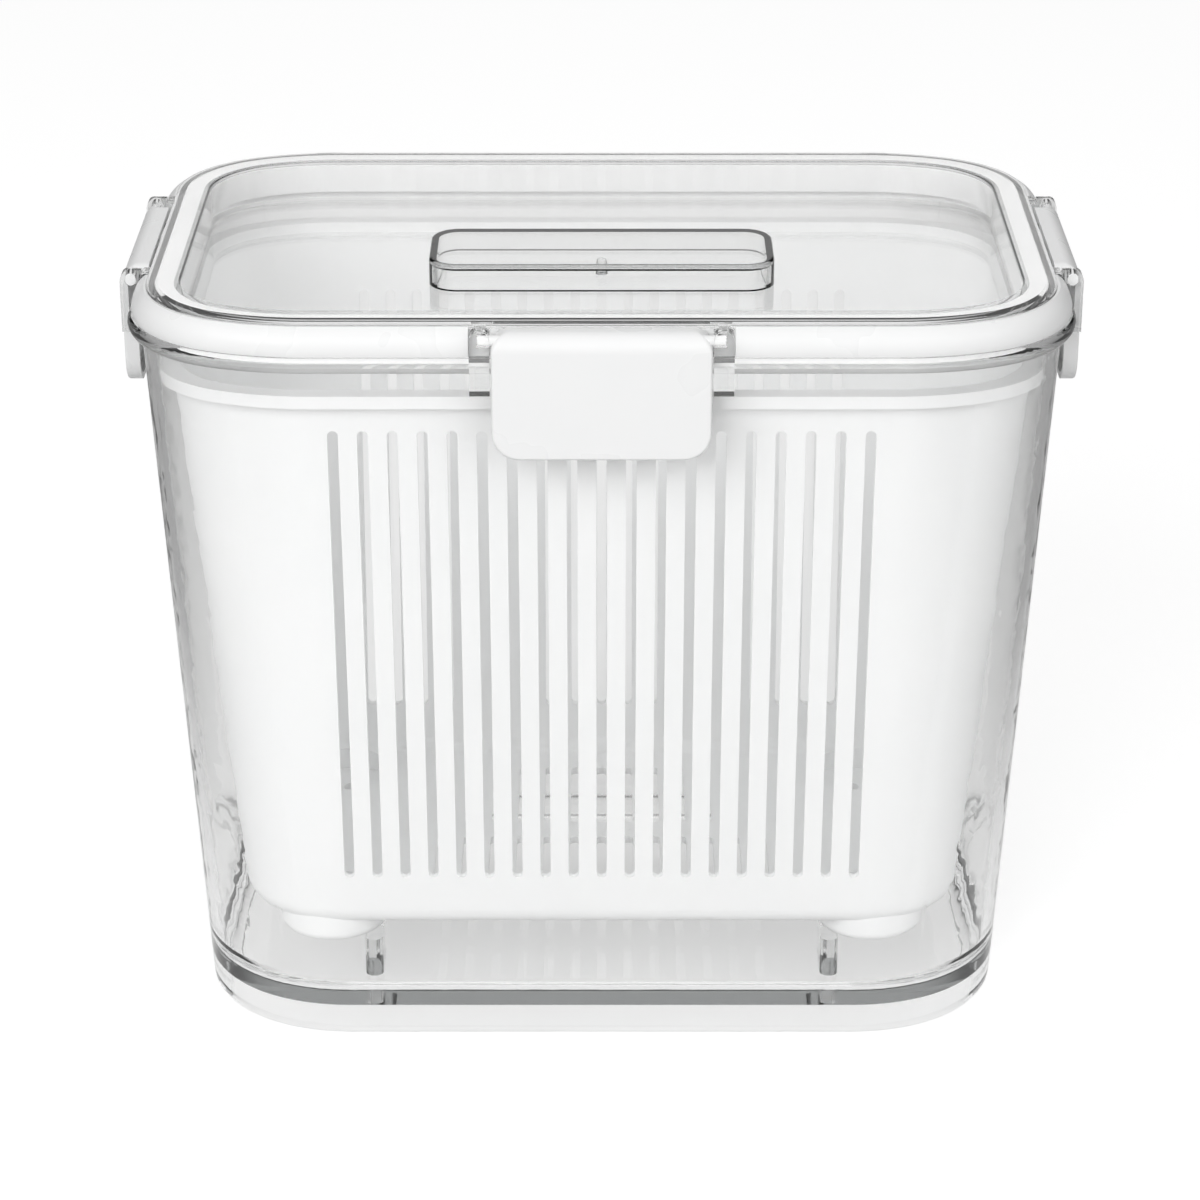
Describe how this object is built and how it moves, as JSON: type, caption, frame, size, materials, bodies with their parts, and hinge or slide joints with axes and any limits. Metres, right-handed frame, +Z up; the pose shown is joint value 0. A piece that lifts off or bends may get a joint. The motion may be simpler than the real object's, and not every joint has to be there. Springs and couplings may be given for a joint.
{
  "type": "airtight food container with drain basket",
  "caption": "Clear rectangular food container with a slotted white drain basket and a clear gasketed lid held by hinged side latches.",
  "frame": {"origin": "on the surface the container stands on, under the centre of its foot", "axes": "+Z up, +X along the long side to the right, front latch at -Y"},
  "size_m": [0.2458, 0.1552, 0.2055],
  "materials": {
    "clear_plastic": "clear moulded plastic, polished",
    "white_plastic": "white moulded plastic, fine satin",
    "white_silicone": "white silicone, satin"
  },
  "bodies": {
    "container_body": {"container": "clear_plastic"},
    "basket": {"drain_basket": "white_plastic"},
    "lid": {"lid_shell": "clear_plastic", "lid_grip": "clear_plastic", "lid_band": "white_plastic", "seal_gasket": "white_silicone"},
    "front_latch": {"latch_front": "white_plastic"},
    "left_latch": {"latch_left": "white_plastic"},
    "right_latch": {"latch_right": "white_plastic"}
  },
  "joints": [
    {"name": "basket_lift", "type": "slide", "parent": "container_body", "child": "basket", "axis": [0, 0, 1], "range_m": [0, 0.19]},
    {"name": "lid_lift", "type": "slide", "parent": "basket", "child": "lid", "axis": [0, 0, 1], "range_m": [0, 0.12]},
    {"name": "front_latch_hinge", "type": "hinge", "parent": "lid", "child": "front_latch", "pos_m": [0, -0.07455, 0.2024], "axis": [-1, 0, 0], "range_deg": [-4.5, 110]},
    {"name": "left_latch_hinge", "type": "hinge", "parent": "lid", "child": "left_latch", "pos_m": [-0.1199, 0.00145, 0.2024], "axis": [0, 1, 0], "range_deg": [-4.5, 110]},
    {"name": "right_latch_hinge", "type": "hinge", "parent": "lid", "child": "right_latch", "pos_m": [0.1199, 0.00145, 0.2024], "axis": [0, -1, 0], "range_deg": [-4.5, 110]}
  ]
}
